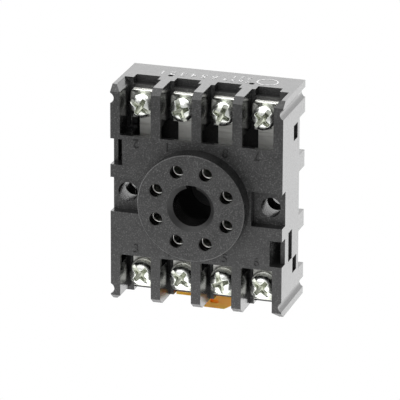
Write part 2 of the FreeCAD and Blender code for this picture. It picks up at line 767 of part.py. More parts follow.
def build_washer(name):
    """A round clamp washer with a dovetail tail towards the wire entry."""
    body = new_body(name)

    sketch = new_sketch(body, name + "_round", "XZ_Plane", z=terminal_front)
    add_circle(sketch, 0, 0, washer_radius)
    add_feature(body, "Pad", sketch, washer_thick)

    sketch = new_sketch(body, name + "_tail", "XZ_Plane", z=terminal_front)
    add_outline(
        sketch,
        [
            (-tail_root, 0),
            (tail_root, 0),
            (tail_root, tail_start),
            (tail_end, tail_reach),
            (-tail_end, tail_reach),
            (-tail_root, tail_start),
        ],
    )
    add_feature(body, "Pad", sketch, washer_thick)

    sketch = new_sketch(body, name + "_hole", "XZ_Plane", z=terminal_front + washer_thick)
    add_circle(sketch, 0, 0, shank_radius + thread_play)
    add_feature(body, "Pocket", sketch)
    return body


def build_screw(name):
    """An M3.5 pan head screw with a straight slot and a cross recess."""
    body = new_body(name)
    under = terminal_front + washer_thick
    face = under + head_height

    sketch = new_sketch(body, name + "_turned", "XY_Plane")
    add_outline(
        sketch,
        [
            (0, -(under - shank_length)),
            (shank_radius - overlap, -(under - shank_length)),
            (shank_radius, -(under - shank_length + overlap)),
            (shank_radius, -under),
            (head_radius, -under),
            (head_radius, -(face - head_round)),
            (head_radius - head_round * 0.3, -(face - head_round * 0.3)),
            (head_radius - head_round, -face),
            (0, -face),
        ],
    )
    add_turn(body, "Revolution", sketch)

    sketch = new_sketch(body, name + "_slot", "XZ_Plane", z=face)
    reach = head_radius + overrun
    add_box(sketch, -reach, reach, -slot_width / 2, slot_width / 2)
    add_feature(body, "Pocket", sketch, slot_depth)

    sketch = new_sketch(body, name + "_cross", "XZ_Plane", z=face)
    half = slot_width / 2
    add_outline(
        sketch,
        [
            (-cross_half, -half),
            (-half, -half),
            (-half, -cross_half),
            (half, -cross_half),
            (half, -half),
            (cross_half, -half),
            (cross_half, half),
            (half, half),
            (half, cross_half),
            (-half, cross_half),
            (-half, half),
            (-cross_half, half),
        ],
    )
    cross = add_feature(body, "Pocket", sketch, cross_depth)
    cross.setExpression("TaperAngle", (-cross_slope).text)
    return body


# The bottom row repeats the top row after half a turn about the socket's axis.
# For each number: place in its row, whether it is in the bottom row, and how its slot stands.
stations = {
    2: (0, False, -30),
    1: (1, False, -68),
    8: (2, False, 65),
    7: (3, False, 49),
    3: (0, True, -45),
    4: (1, True, -36),
    5: (2, True, -70),
    6: (3, True, -42),
}
shifts = [neck_shift_two, neck_shift_one, neck_shift_eight, neck_shift_seven]
eyes = [(-pin_z, pin_x), (-pin_x, pin_z), (pin_x, pin_z), (pin_z, pin_x)]
toward_user = Vector(0, -1, 0)

for pin, (place, in_bottom_row, slot_angle) in sorted(stations.items()):
    turn = 180 if in_bottom_row else 0
    sign = -1 if in_bottom_row else 1
    twin = row_bays - 1 - place if in_bottom_row else place
    label = str(pin)

    terminal = build_terminal("terminal_" + label, twin, shifts[twin], *eyes[twin])
    terminal.Placement = Placement(Vector(0, 0, 0), Rotation(toward_user, turn))

    contact = build_contact("contact_" + label)
    outward = 22.5 + 45 * (pin - 1)
    contact.Placement = Placement(Vector(0, 0, 0), Rotation(toward_user, outward))
    eye_x, eye_z = eyes[twin]
    contact.setExpression("Placement.Base.x", (eye_x * sign).text)
    contact.setExpression("Placement.Base.z", (eye_z * sign).text)

    washer = build_washer("washer_" + label)
    washer.Placement = Placement(Vector(0, 0, 0), Rotation(toward_user, turn))
    screw = build_screw("screw_" + label)
    screw.Placement = Placement(Vector(0, 0, 0), Rotation(toward_user, slot_angle))
    for piece in (washer, screw):
        piece.setExpression("Placement.Base.x", bay_centre(place).text)
        piece.setExpression("Placement.Base.z", (screw_at * sign).text)

doc.recompute()

# Nothing is written unless every object of the document is sound
for item in doc.Objects:
    if "Invalid" in item.State or "Error" in item.State:
        raise RuntimeError(item.Name + " failed: " + str(item.State))
bodies = [item for item in doc.Objects if item.TypeId == "PartDesign::Body"]
for body in bodies:
    if body.Shape.isNull() or not body.Shape.isValid():
        raise RuntimeError(body.Label + " has no sound shape")

os.makedirs("parts", exist_ok=True)
for body in bodies:
    body.Shape.exportStep("parts/" + body.Label + ".step")
    print(body.Label, "solids", len(body.Shape.Solids), "volume", round(body.Shape.Volume, 2))
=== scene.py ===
# %% [markdown]
# # A relay socket, lesson in cells
#
# This is the screw-terminal socket that an eight-pin relay plugs into. Its solids are already
# there, made in CAD: one black moulding, a back cover, an orange lever, and a terminal, contact,
# washer and screw for each of the eight pins. What is left is how they look. Each cell below
# does one small thing and prints what it did, so it can be run and changed by itself.

# %% Load the solids
import math

import bpy
import numpy as np
from mathutils import Matrix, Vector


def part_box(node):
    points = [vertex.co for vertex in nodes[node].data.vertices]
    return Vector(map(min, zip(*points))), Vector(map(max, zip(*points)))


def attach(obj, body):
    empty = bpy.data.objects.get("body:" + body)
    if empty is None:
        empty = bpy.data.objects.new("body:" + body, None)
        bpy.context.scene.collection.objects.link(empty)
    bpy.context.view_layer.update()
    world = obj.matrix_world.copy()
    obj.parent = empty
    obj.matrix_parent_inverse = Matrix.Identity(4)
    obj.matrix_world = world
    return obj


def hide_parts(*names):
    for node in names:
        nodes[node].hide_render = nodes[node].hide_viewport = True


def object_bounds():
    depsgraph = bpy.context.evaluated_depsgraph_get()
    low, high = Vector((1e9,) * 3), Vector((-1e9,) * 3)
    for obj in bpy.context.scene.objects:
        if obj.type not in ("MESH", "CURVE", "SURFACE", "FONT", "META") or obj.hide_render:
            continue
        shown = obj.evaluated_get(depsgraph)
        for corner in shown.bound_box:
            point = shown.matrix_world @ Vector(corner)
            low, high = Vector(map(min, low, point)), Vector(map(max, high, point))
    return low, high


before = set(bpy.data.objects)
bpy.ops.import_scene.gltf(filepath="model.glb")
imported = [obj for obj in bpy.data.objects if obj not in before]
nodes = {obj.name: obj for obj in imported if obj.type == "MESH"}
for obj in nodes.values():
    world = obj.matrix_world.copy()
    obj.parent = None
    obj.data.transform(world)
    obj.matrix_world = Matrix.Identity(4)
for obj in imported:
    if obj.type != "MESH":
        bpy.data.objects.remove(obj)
cad_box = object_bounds()
print(len(nodes), "solids from CAD, in a box of", [list(map(float, corner)) for corner in cad_box])

# %% [markdown]
# ## The camera
#
# A catalogue photograph of a thing this small is taken from almost a metre away with a long
# lens, so lines that run back hardly close in. The eight pin holes lie on a circle, which the
# picture shows as an ellipse: its two widths and its tilt give the three angles below. A
# camera is easiest to place by three arrows: where it looks, what is right and what is up.

# %% Place the camera
millimetre = 0.001
azimuth = math.radians(17.281)
elevation = math.radians(19.687)
roll = math.radians(0.214)
camera_distance = 901.3 * millimetre
front_plane = 17.3 * millimetre
pixels_across = 400
pixels_per_metre = 4546.0
sensor_width = 36.0


def camera_arrows(azimuth, elevation, roll):
    """Forward, right and up of a camera that circles the object.

    For azimuth a and elevation e, forward is cos e * (-sin a, cos a) across and -sin e up.
    Right is level, up is right x forward, and the roll turns right and up about forward.
    """
    forward = np.array(
        [
            -math.sin(azimuth) * math.cos(elevation),
            math.cos(azimuth) * math.cos(elevation),
            -math.sin(elevation),
        ]
    )
    level = np.array([math.cos(azimuth), math.sin(azimuth), 0.0])
    upright = np.cross(level, forward)
    right = level * math.cos(roll) + upright * math.sin(roll)
    up = upright * math.cos(roll) - level * math.sin(roll)
    return forward, right, up


forward, right, up = camera_arrows(azimuth, elevation, roll)
aim = np.array([0.0, -front_plane, 0.0]) + right * 0.91 * millimetre + up * 0.68 * millimetre
camera_place = aim - forward * camera_distance
camera_data = bpy.data.cameras.new("camera")
camera_data.sensor_width = sensor_width
camera_data.lens = pixels_per_metre * camera_distance / pixels_across * sensor_width
camera_data.clip_start = 0.01
camera_data.clip_end = 20.0
camera = bpy.data.objects.new("camera", camera_data)
turned = np.eye(4)
turned[:3, 0] = right
turned[:3, 1] = up
turned[:3, 2] = -forward
turned[:3, 3] = camera_place
camera.matrix_world = Matrix(turned.tolist())
bpy.context.collection.objects.link(camera)
bpy.context.scene.camera = camera
print("lens", round(camera_data.lens, 1), "mm, camera at", np.round(camera_place, 3))

# %% [markdown]
# ## Materials: small helpers first
#
# A material is a chain of nodes. These helpers save typing: they add a node and set its plain
# sockets, join two sockets by name, lay noise, ramps and bumps, and work out sums and tests.

# %% Node helpers


def add_node(material, kind, **sockets):
    """Adds a node of the kind and sets each named socket to a plain value."""
    node = material.node_tree.nodes.new("ShaderNode" + kind)
    for name, value in sockets.items():
        node.inputs[name.replace("_", " ")].default_value = value
    return node


def join(material, source, out_name, target, in_name):
    """A wire from one node's output to another node's input."""
    material.node_tree.links.new(source.outputs[out_name], target.inputs[in_name])


def new_material(name):
    """An empty material with its shader and the Object coordinates that patterns are read on."""
    material = bpy.data.materials.new(name)
    material.use_nodes = True
    shader = material.node_tree.nodes["Principled BSDF"]
    place = material.node_tree.nodes.new("ShaderNodeTexCoord")
    return material, shader, place


def add_noise(material, place, scale, detail=3.0, roughness=0.5):
    """Noise on the piece's own coordinates; scale counts blobs in each metre."""
    noise = add_node(material, "TexNoise", Scale=scale, Detail=detail, Roughness=roughness)
    join(material, place, "Object", noise, "Vector")
    return noise


def add_ramp(material, source, out_name, stops):
    """Maps 0..1 to colours: stops are pairs of position and colour."""
    ramp = material.node_tree.nodes.new("ShaderNodeValToRGB")
    band = ramp.color_ramp.elements
    while len(band) < len(stops):
        band.new(0.5)
    for element, (position, colour) in zip(band, stops):
        element.position = position
        element.color = (*colour, 1.0)
    join(material, source, out_name, ramp, "Fac")
    return ramp


def add_bump(material, shader, source, out_name, strength, depth):
    """Turns a pattern into small hills of the given depth in metres."""
    bump = add_node(material, "Bump", Strength=strength, Distance=depth)
    join(material, source, out_name, bump, "Height")
    join(material, bump, "Normal", shader, "Normal")
    return bump


def reckon(material, operation, first, second=0.0):
    """One sum or test; each input is a plain number or another node's output."""
    node = add_node(material, "Math")
    node.operation = operation
    for socket, value in zip(node.inputs, (first, second)):
        if isinstance(value, float):
            socket.default_value = value
        else:
            material.node_tree.links.new(value, socket)
    return node.outputs["Value"]


def both(material, *tests):
    """1 where every test is 1: their product."""
    product = tests[0]
    for test in tests[1:]:
        product = reckon(material, "MULTIPLY", product, test)
    return product


print("helpers ready")

# %% [markdown]
# ## Charcoal plastic
#
# The housing is moulded in a glass-filled plastic. It isn't jet black: it is charcoal, a little
# cloudy where the melt flowed. The mould's front was sparked to a fine grain that scatters
# light, while the steel that shaped the bays, the disc's side and the holes was polished, so
# the walls there are smooth, and seen at a low angle they mirror whatever stands beside them.
# Masks tell these places apart, by where a point lies and which way it faces. One more mask paints
# shade near black into the disc's holes and onto the bevel round the key hole, where shade falls.

# %% Masks for the smooth walls and the painted shade in the bores
bay_outline = (19.2 * millimetre, 25.0 * millimetre)
ear_outline = (14.2 * millimetre, 3.4 * millimetre)
# bore_outline, disc_face, key_outline, key_collar and the bevel numbers outline where shade is painted
# near black.
bore_outline = 11.0 * millimetre
disc_face = -20.9 * millimetre
key_outline = 5.2 * millimetre
key_collar = -15.6 * millimetre
aside_limit = 0.6
bevel_limit = 0.8
bevel_edge = 5.6 * millimetre
bevel_floor = -20.2 * millimetre


def turned_aside(material, place, limit):
    """1 where |normal y| < limit: walls at a low limit, and chamfers as well at a high one."""
    facing = add_node(material, "SeparateXYZ")
    join(material, place, "Normal", facing, "Vector")
    size = reckon(material, "ABSOLUTE", facing.outputs["Y"])
    return reckon(material, "LESS_THAN", size, limit)


def smooth_walls(material, place, aside):
    """1 on faces turned aside with |x| and |z| inside the outline, and 0 in the ears' holes."""
    spot = add_node(material, "SeparateXYZ")
    join(material, place, "Object", spot, "Vector")
    across = reckon(material, "ABSOLUTE", spot.outputs["X"])
    height = reckon(material, "ABSOLUTE", spot.outputs["Z"])
    in_width = reckon(material, "LESS_THAN", across, bay_outline[0])
    in_height = reckon(material, "LESS_THAN", height, bay_outline[1])
    beside = reckon(material, "GREATER_THAN", across, ear_outline[0])
    level = reckon(material, "LESS_THAN", height, ear_outline[1])
    off_ears = reckon(material, "SUBTRACT", 1.0, both(material, beside, level))
    return both(material, aside, in_width, in_height, off_ears)


def dark_bores(material, place):
    """1 in the disc's holes, where sqrt(x^2 + z^2) is small, and on the bevel round the key hole.

    In a hole, a point lies behind the face and, near the axis, past the key's collar. On the
    bevel it lies in front, near the axis, on a face that slopes. The mask is painted shade: where
    it is 1, the plastic is coloured near black.
    """
    flat = add_node(material, "Mapping", Scale=(1.0, 0.0, 1.0))
    join(material, place, "Object", flat, "Vector")
    length = add_node(material, "VectorMath")
    length.operation = "LENGTH"
    join(material, flat, "Vector", length, 0)
    radius = length.outputs["Value"]
    spot = add_node(material, "SeparateXYZ")
    join(material, place, "Object", spot, "Vector")
    depth = spot.outputs["Y"]
    near_axis = reckon(material, "LESS_THAN", radius, bore_outline)
    behind = reckon(material, "GREATER_THAN", depth, disc_face)
    in_key = reckon(material, "LESS_THAN", radius, key_outline)
    before = reckon(material, "LESS_THAN", depth, key_collar)
    collar = both(material, in_key, before)
    open_part = reckon(material, "SUBTRACT", 1.0, collar)
    holes = both(material, near_axis, behind, open_part)
    round_key = reckon(material, "LESS_THAN", radius, bevel_edge)
    in_front = reckon(material, "LESS_THAN", depth, bevel_floor)
    sloping = turned_aside(material, place, bevel_limit)
    bevel = both(material, round_key, in_front, sloping)
    return reckon(material, "MAXIMUM", holes, bevel)


print("masks ready")

# %% Make the charcoal plastic
cloud_scale = 230.0
fleck_scale = 3600.0
fleck_band = (0.52, 0.75)
grain_scale = 2600.0
grain_band = (0.35, 0.65)
grain_depth = 0.12 * millimetre
fine_grain = (0.38, 0.54)
satin = 0.27
satin_grain = 0.35
polished = 0.2
black, white = (0.0,) * 3, (1.0,) * 3
# Colour of the painted shade in the disc's holes and on the key bevel.
painted_shade_black = (0.001,) * 3


def mix_colours(material, factor, first, second):
    """first where the factor is 0 and second where it is 1; each is a colour or an output."""
    mix = add_node(material, "Mix")
    mix.data_type = "RGBA"
    material.node_tree.links.new(factor, mix.inputs["Factor"])
    for socket, value in zip(mix.inputs[6:8], (first, second)):
        if isinstance(value, tuple):
            socket.default_value = (*value, 1.0)
        else:
            material.node_tree.links.new(value, socket)
    return mix.outputs[2]


def map_ends(source, target):
    """The sockets of a Map Range node that takes one pair of ends to the other."""
    ends = {"From_Min": source[0], "From_Max": source[1]}
    return ends | {"To_Min": target[0], "To_Max": target[1]}


def charcoal_plastic(name, dark, light, speckle, with_bore_shade):
    """Broad noise picks the colour, fine noise makes the grain, and its peaks are pale specks.

    Grain = fine noise * (1 on the front, 0.35 on the outer sides, 0 on the polished walls).
    Roughness is the grain's on the front, satin on the outer sides and low on the walls. For the
    housing, shade is painted near black into the disc's holes and onto the key bevel.
    """
    material, shader, place = new_material(name)
    aside = turned_aside(material, place, aside_limit)
    smooth = smooth_walls(material, place, aside)
    # Painted shade: a mask of the disc's holes and the key bevel, kept off the polished walls.
    if with_bore_shade:
        bore_shade = dark_bores(material, place)
        smooth = both(material, smooth, reckon(material, "SUBTRACT", 1.0, bore_shade))
    outer = reckon(material, "SUBTRACT", aside, smooth)
    less = reckon(material, "MULTIPLY", outer, 1.0 - satin_grain)
    rough = reckon(material, "SUBTRACT", 1.0, reckon(material, "ADD", smooth, less))
    clouds = add_noise(material, place, cloud_scale, 4.0, 0.6)
    tone = add_ramp(material, clouds, "Fac", [(0.3, dark), (0.7, light)])
    flecks = add_noise(material, place, fleck_scale, 2.0, 0.6)
    peaks = add_ramp(material, flecks, "Fac", [(fleck_band[0], black), (fleck_band[1], white)])
    speck = both(material, peaks.outputs["Color"], rough)
    colour = mix_colours(material, speck, tone.outputs["Color"], speckle)
    # Painted shade: the disc's holes and the key bevel are coloured near black.
    if with_bore_shade:
        colour = mix_colours(material, bore_shade, colour, painted_shade_black)
    material.node_tree.links.new(colour, shader.inputs["Base Color"])
    grain = add_noise(material, place, grain_scale, 3.0, 0.65)
    gloss = add_node(material, "MapRange", **map_ends(grain_band, fine_grain))
    join(material, grain, "Fac", gloss, "Value")
    side = add_node(material, "Mix", B=satin)
    material.node_tree.links.new(aside, side.inputs["Factor"])
    join(material, gloss, "Result", side, "A")
    pick = add_node(material, "Mix", B=polished)
    material.node_tree.links.new(smooth, pick.inputs["Factor"])
    join(material, side, "Result", pick, "A")
    join(material, pick, "Result", shader, "Roughness")
    bump = add_node(material, "Bump", Strength=0.6, Distance=grain_depth)
    height = both(material, grain.outputs["Fac"], rough)
    material.node_tree.links.new(height, bump.inputs["Height"])
    join(material, bump, "Normal", shader, "Normal")
    shader.inputs["Specular IOR Level"].default_value = 0.6
    return material


# The housing gets painted shade in its disc's holes and on the key bevel; the cover gets none.
housing_plastic = charcoal_plastic("charcoal_plastic", (0.004,) * 3, (0.02,) * 3, (0.10,) * 3, True)
cover_plastic = charcoal_plastic("cover_plastic", (0.005,) * 3, (0.016,) * 3, (0.07,) * 3, False)
print("charcoal plastic ready")

# %% [markdown]
# ## Orange plastic
#
# The rail lever is moulded in a warm orange so that the fitter finds it. Its surface is
# smoother than the housing's.

# %% Make the orange plastic


def orange_plastic():
    """Warm orange with faint clouds and a smooth, slightly wavy skin."""
    material, shader, place = new_material("orange_plastic")
    clouds = add_noise(material, place, 180.0, 3.0, 0.5)
    tone = add_ramp(material, clouds, "Fac", [(0.3, (0.98, 0.52, 0.05)), (0.7, (1.0, 0.63, 0.08))])
    join(material, tone, "Color", shader, "Base Color")
    grain = add_noise(material, place, 3000.0, 2.0, 0.5)
    add_bump(material, shader, grain, "Fac", 0.2, 0.00003)
    shader.inputs["Roughness"].default_value = 0.4
    shader.inputs["Subsurface Weight"].default_value = 1.0
    shader.inputs["Subsurface Radius"].default_value = (1.0, 0.5, 0.15)
    shader.inputs["Subsurface Scale"].default_value = 0.0025
    return material


lever_plastic = orange_plastic()
print("orange plastic ready")

# %% [markdown]
# ## Plated metal
#
# Screws and washers are nickel plated: bright, with soft lines and small dull spots. The
# terminals are rolled and stamped from sheet, so fine lines run across them. Both are plain
# metal shaders; only how rough they are, and the bumps, differ. In the screws' slot, cross
# recess and thread, shade is painted into the colour, darker where shade falls.

# %% Make the plated metals


def plated_metal(name, colour, shade, low, high, lines, depth):
    """Metal whose roughness wanders between low and high; lines counts its streaks in each metre.

    Streaks run level: noise squeezed along X and Y changes only with height. They pull the
    colour towards the shade colour, and so does the attribute "recess", which is painted shade
    in a screw's slot, cross recess and thread.
    """
    material, shader, place = new_material(name)
    spots = add_noise(material, place, 1400.0, 3.0, 0.5)
    gloss = add_ramp(material, spots, "Fac", [(0.3, (low,) * 3), (0.7, (high,) * 3)])
    join(material, gloss, "Color", shader, "Roughness")
    stretch = add_node(material, "Mapping", Scale=(0.05, 0.05, 1.0))
    join(material, place, "Object", stretch, "Vector")
    streaks = add_node(material, "TexNoise", Scale=lines, Detail=2.0)
    join(material, stretch, "Vector", streaks, "Vector")
    add_bump(material, shader, streaks, "Fac", 0.25, depth)
    # Painted shade: the "recess" attribute darkens the colour in the screws' slot, cross recess and
    # thread.
    painted_recess_shade = material.node_tree.nodes.new("ShaderNodeAttribute")
    painted_recess_shade.attribute_name = "recess"
    lines_only = add_ramp(material, streaks, "Fac", [(0.3, (0.75,) * 3), (0.5, (0.0,) * 3)])
    most = reckon(material, "MAXIMUM", painted_recess_shade.outputs["Fac"], lines_only.outputs["Color"])
    tint = mix_colours(material, most, colour, shade)
    material.node_tree.links.new(tint, shader.inputs["Base Color"])
    shader.inputs["Metallic"].default_value = 1.0
    return material


# nickel_shade is the colour of the screws' streaks and also of their painted recess shade.
nickel, nickel_shade = (0.90, 0.92, 0.88), (0.44, 0.46, 0.38)
zinc, zinc_shade = (0.80, 0.81, 0.76), (0.50, 0.50, 0.44)
sheet, sheet_shade = (0.95, 0.95, 0.91), (0.55, 0.54, 0.50)
tin, tin_shade = (0.92, 0.92, 0.88), (0.6, 0.6, 0.56)
screw_metal = plated_metal("nickel_plate", nickel, nickel_shade, 0.2, 0.34, 900.0, 0.00001)
washer_metal = plated_metal("zinc_plate", zinc, zinc_shade, 0.24, 0.34, 700.0, 0.00001)
terminal_metal = plated_metal("rolled_sheet", sheet, sheet_shade, 0.44, 0.56, 1500.0, 0.00003)
contact_metal = plated_metal("contact_plate", tin, tin_shade, 0.3, 0.4, 900.0, 0.00002)
print("metals ready")

# %% [markdown]
# ## Dress the solids
#
# A solid from CAD keeps its shape; it only gets its material in its own slot.

# %% Give every solid its material
finishes = {
    "housing": housing_plastic,
    "base": cover_plastic,
    "rail_lever": lever_plastic,
    "terminal": terminal_metal,
    "contact": contact_metal,
    "washer": washer_metal,
    "screw": screw_metal,
}
for name, solid in nodes.items():
    kind = name if name in finishes else name.split("_")[0]
    solid.data.materials.clear()
    solid.data.materials.append(finishes[kind])
print("dressed", len(nodes), "solids")

# %% [markdown]
# ## Round what is round
#
# A solid from CAD comes as loose flat triangles, so a round rim shows its facets once it is
# polished. The solid itself is left alone. Each moulded or rolled piece gets a copy, whose
# loose corners are merged first; then faces that meet at a low angle are shaded as one smooth
# surface, and sharper edges stay crisp. The copy stands for the solid.

# %% Smooth copies
import bmesh

crisp_angle = math.radians(28.0)
merge_distance = 0.001 * millimetre


def smooth_copy(name, body, slot):
    """A merged copy of a solid, smooth wherever its faces meet at less than the crisp angle."""
    shell = bmesh.new()
    shell.from_mesh(nodes[name].data)
    bmesh.ops.remove_doubles(shell, verts=shell.verts, dist=merge_distance)
    mesh = bpy.data.meshes.new("moulded_" + name)
    shell.to_mesh(mesh)
    shell.free()
    if "custom_normal" in mesh.attributes:
        mesh.attributes.remove(mesh.attributes["custom_normal"])
    mesh.polygons.foreach_set("use_smooth", np.ones(len(mesh.polygons), dtype=bool))
    mesh.set_sharp_from_angle(angle=crisp_angle)
    mesh.materials.clear()
    mesh.materials.append(nodes[name].data.materials[0])
    piece = bpy.data.objects.new("moulded_" + name, mesh)
    bpy.context.collection.objects.link(piece)
    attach(piece, body)
    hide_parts(name)
    return piece


def soften_edges(piece, width):
    """A live bevel on edges sharper than 40 degrees: what a mould's worn corner leaves."""
    bevel = piece.modifiers.new("worn_corners", "BEVEL")
    bevel.width = width
    bevel.segments = 2
    bevel.limit_method = "ANGLE"
    bevel.angle_limit = math.radians(40.0)
    bevel.harden_normals = True


copies = [("housing", "socket", "black_plastic"), ("base", "socket", "black_plastic")]
copies.append(("rail_lever", "lever", "orange_plastic"))
for pin in range(1, 9):
    copies.append(("terminal_" + str(pin), "socket", "plated_steel"))
    copies.append(("contact_" + str(pin), "socket", "contact_plate"))
finished = {row[0]: smooth_copy(*row) for row in copies}
soften_edges(finished["housing"], 0.1 * millimetre)
print(len(copies), "smooth copies")

# %% [markdown]
# ## Finished pieces
#
# Some pieces deserve more than their CAD solid has. Each of them is a mesh whose points are
# worked out as whole arrays. Its object stays at the origin, with its place in its points,
# because the solids are kept that way too, and it rides on the body of the solid it joins.

# %% Helpers for finished pieces


def add_piece(name, points, faces, material, body="socket"):
    """A mesh object at the origin, with its place in its points, riding on a body."""
    mesh = bpy.data.meshes.new(name)
    mesh.from_pydata(np.asarray(points).tolist(), [], faces)
    mesh.materials.append(material)
    piece = bpy.data.objects.new(name, mesh)
    bpy.context.collection.objects.link(piece)
    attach(piece, body)
    return piece


def text_mesh(text, height, depth):
    """The outlines of a text as a mesh in its own XY plane, centred, depth thick along Z."""
    curve = bpy.data.curves.new("text", "FONT")
    curve.body = text
    curve.size = height * 1.4
    curve.align_x = "CENTER"
    curve.align_y = "CENTER"
    curve.extrude = depth / 2
    curve.resolution_u = 6
    holder = bpy.data.objects.new("text", curve)
    mesh = bpy.data.meshes.new_from_object(holder)
    bpy.data.objects.remove(holder)
    points = np.empty(len(mesh.vertices) * 3)
    mesh.vertices.foreach_get("co", points)
    faces = [tuple(face.vertices) for face in mesh.polygons]
    return points.reshape(-1, 3), faces


print("piece helpers ready")

# %% [markdown]
# ## Terminal screws
#
# A terminal screw is a pan head with a straight slot and a cross recess, because it has to take
# either driver. Its head is slightly domed, which is what makes it sparkle: each part of the
# dome mirrors another part of the room. A grid of rings suits it. Ring by ring the radius
# grows from the middle of the head to its rim, then the side, the underside and the thread
# follow. The recesses are a height taken off wherever a point lies inside them.

# %% Sizes of a screw
head_radius = 2.72 * millimetre
head_height = 2.7 * millimetre
head_side = 1.2 * millimetre
slot_half = 0.5 * millimetre
slot_floor = 0.85 * millimetre
recess_reach = 2.05 * millimetre
recess_floor = 1.7 * millimetre
shank_radius = 1.72 * millimetre
shank_length = 6.5 * millimetre
thread_pitch = 0.6 * millimetre
thread_depth = 0.3 * millimetre
head_steps = 192
shank_steps = 48
print("head", round(head_radius * 2 / millimetre, 2), "mm across")

# %% The head's height field


def smooth_step(low, high, value):
    """0 below low, 1 above high, and 3t^2 - 2t^3 between them."""
    t = np.clip((value - low) / (high - low), 0.0, 1.0)
    return t * t * (3.0 - 2.0 * t)


def dome_height(radius):
    """Superellipse dome: side + (height - side) * (1 - (r / R)^2.7)^(1 / 2.7)."""
    share = np.clip(radius / head_radius, 0.0, 1.0)
    return head_side + (head_height - head_side) * (1.0 - share**2.7) ** (1.0 / 2.7)


def recess_share(along, across):
    """Two crossed arms whose half width shrinks as exp(-distance) from the middle, as a mask."""
    mask = np.zeros_like(along)
    for run, side in ((along, across), (across, along)):
        half = (0.40 + 0.6 * np.exp(-np.abs(run) / (0.55 * millimetre))) * millimetre
        inside = 1.0 - smooth_step(-0.10 * millimetre, 0.06 * millimetre, np.abs(side) - half)
        ends = 1.0 - smooth_step(-0.25 * millimetre, 0.0, np.abs(run) - recess_reach)
        mask = np.maximum(mask, inside * ends)
    return mask


def head_relief(radius, angle):
    """The dome, minus the slot along the angle 0, minus the cross recess that slopes inwards."""
    along, across = radius * np.cos(angle), radius * np.sin(angle)
    dome = dome_height(radius)
    slot = 1.0 - smooth_step(-0.04 * millimetre, 0.05 * millimetre, np.abs(across) - slot_half)
    height = dome * (1.0 - slot) + np.minimum(dome, head_height - slot_floor) * slot
    cross = recess_share(along, across)
    slope = recess_floor * (1.0 - 0.62 * np.clip(radius / recess_reach, 0.0, 1.0))
    height = height * (1.0 - cross) + np.minimum(height, head_height - slope) * cross
    # The second value is painted shade for the metal's colour: 1 in the cross recess, 0.6 in the slot.
    return height, np.maximum(cross, slot * 0.6)


print("middle of the recess lies", round(float(recess_floor) / millimetre, 2), "mm down")

# %% Rings into a closed mesh


def ring_faces(rings, count, start=0):
    """Quads between neighbouring rings, and a fan to the single point at each end.

    Point 0 is the first pole, then come the rings, and the last point is the other pole.
    """
    ring = np.arange(rings)[:, None] * count + np.arange(count)[None, :] + 1 + start
    onward = np.roll(ring, -1, axis=1)
    quads = np.stack([ring[:-1], onward[:-1], onward[1:], ring[1:]], axis=2).reshape(-1, 4)
    first = np.stack([np.full(count, start), onward[0], ring[0]], axis=1)
    last_point = start + rings * count + 1
    last = np.stack([np.full(count, last_point), ring[-1], onward[-1]], axis=1)
    return quads.tolist() + first.tolist() + last.tolist()


def head_rings(count):
    """Radius and height of the head's rings: the relief, the side, and back under the head."""
    angle = np.linspace(0.0, 2 * math.pi, count, endpoint=False)
    radius = head_radius * np.sin(np.linspace(0.012, 1.0, 64) * math.pi / 2)
    top_radius = np.repeat(radius[:, None], count, axis=1)
    top_height, inside = head_relief(top_radius, angle[None, :])
    side_height = np.linspace(head_side, 0.0, 6)[1:, None] * np.ones((1, count))
    cut = np.minimum(side_height, top_height[-1][None, :])
    under_radius = np.linspace(0.97, 0.3, 5)[:, None] * head_radius * np.ones((1, count))
    radii = np.vstack([top_radius, np.full((5, count), head_radius), under_radius])
    heights = np.vstack([top_height, cut, np.zeros((5, count))])
    masks = np.vstack([inside, np.zeros((10, count))])
    return angle, radii, heights, masks


def shank_rings(count):
    """A thread: the radius drops by a triangle wave of (depth along + pitch * angle / 2 pi)."""
    angle = np.linspace(0.0, 2 * math.pi, count, endpoint=False)
    depth = np.linspace(0.02 * millimetre, shank_length, 88)
    turns = (depth[:, None] + thread_pitch * angle[None, :] / (2 * math.pi)) / thread_pitch
    wave = np.abs((turns % 1.0) * 2.0 - 1.0)
    tip = smooth_step(shank_length - 0.5 * millimetre, shank_length, depth)[:, None]
    run_out = 1.0 - smooth_step(0.3 * millimetre, 0.9 * millimetre, depth)[:, None]
    radii = shank_radius - thread_depth * wave * (1.0 - run_out) - 0.3 * millimetre * tip * (1.0 - wave)
    return angle, radii, -depth[:, None] * np.ones((1, count))


print("screw surfaces ready")

# %% Turn a screw and set it in its place
screw_spots = {
    2: (-14.025, 19.7, -30), 1: (-4.675, 19.7, -68), 8: (4.675, 19.7, 65), 7: (14.025, 19.7, 49),
    3: (-14.025, -19.7, -45), 4: (-4.675, -19.7, -36), 5: (4.675, -19.7, -70), 6: (14.025, -19.7, -42),
}
head_seat = 11.5 * millimetre


def rings_to_points(angle, radii, heights, centre_x, centre_z, turn, ends):
    """Places rings about the screw's axis, and adds a pole at each end at the given heights."""
    x = centre_x + radii * np.cos(angle[None, :] + turn)
    z = centre_z + radii * np.sin(angle[None, :] + turn)
    y = -(head_seat + heights)
    points = np.stack([x, y, z], axis=2).reshape(-1, 3)
    poles = [[centre_x, -(head_seat + end), centre_z] for end in ends]
    return np.vstack([poles[:1], points, poles[1:]])


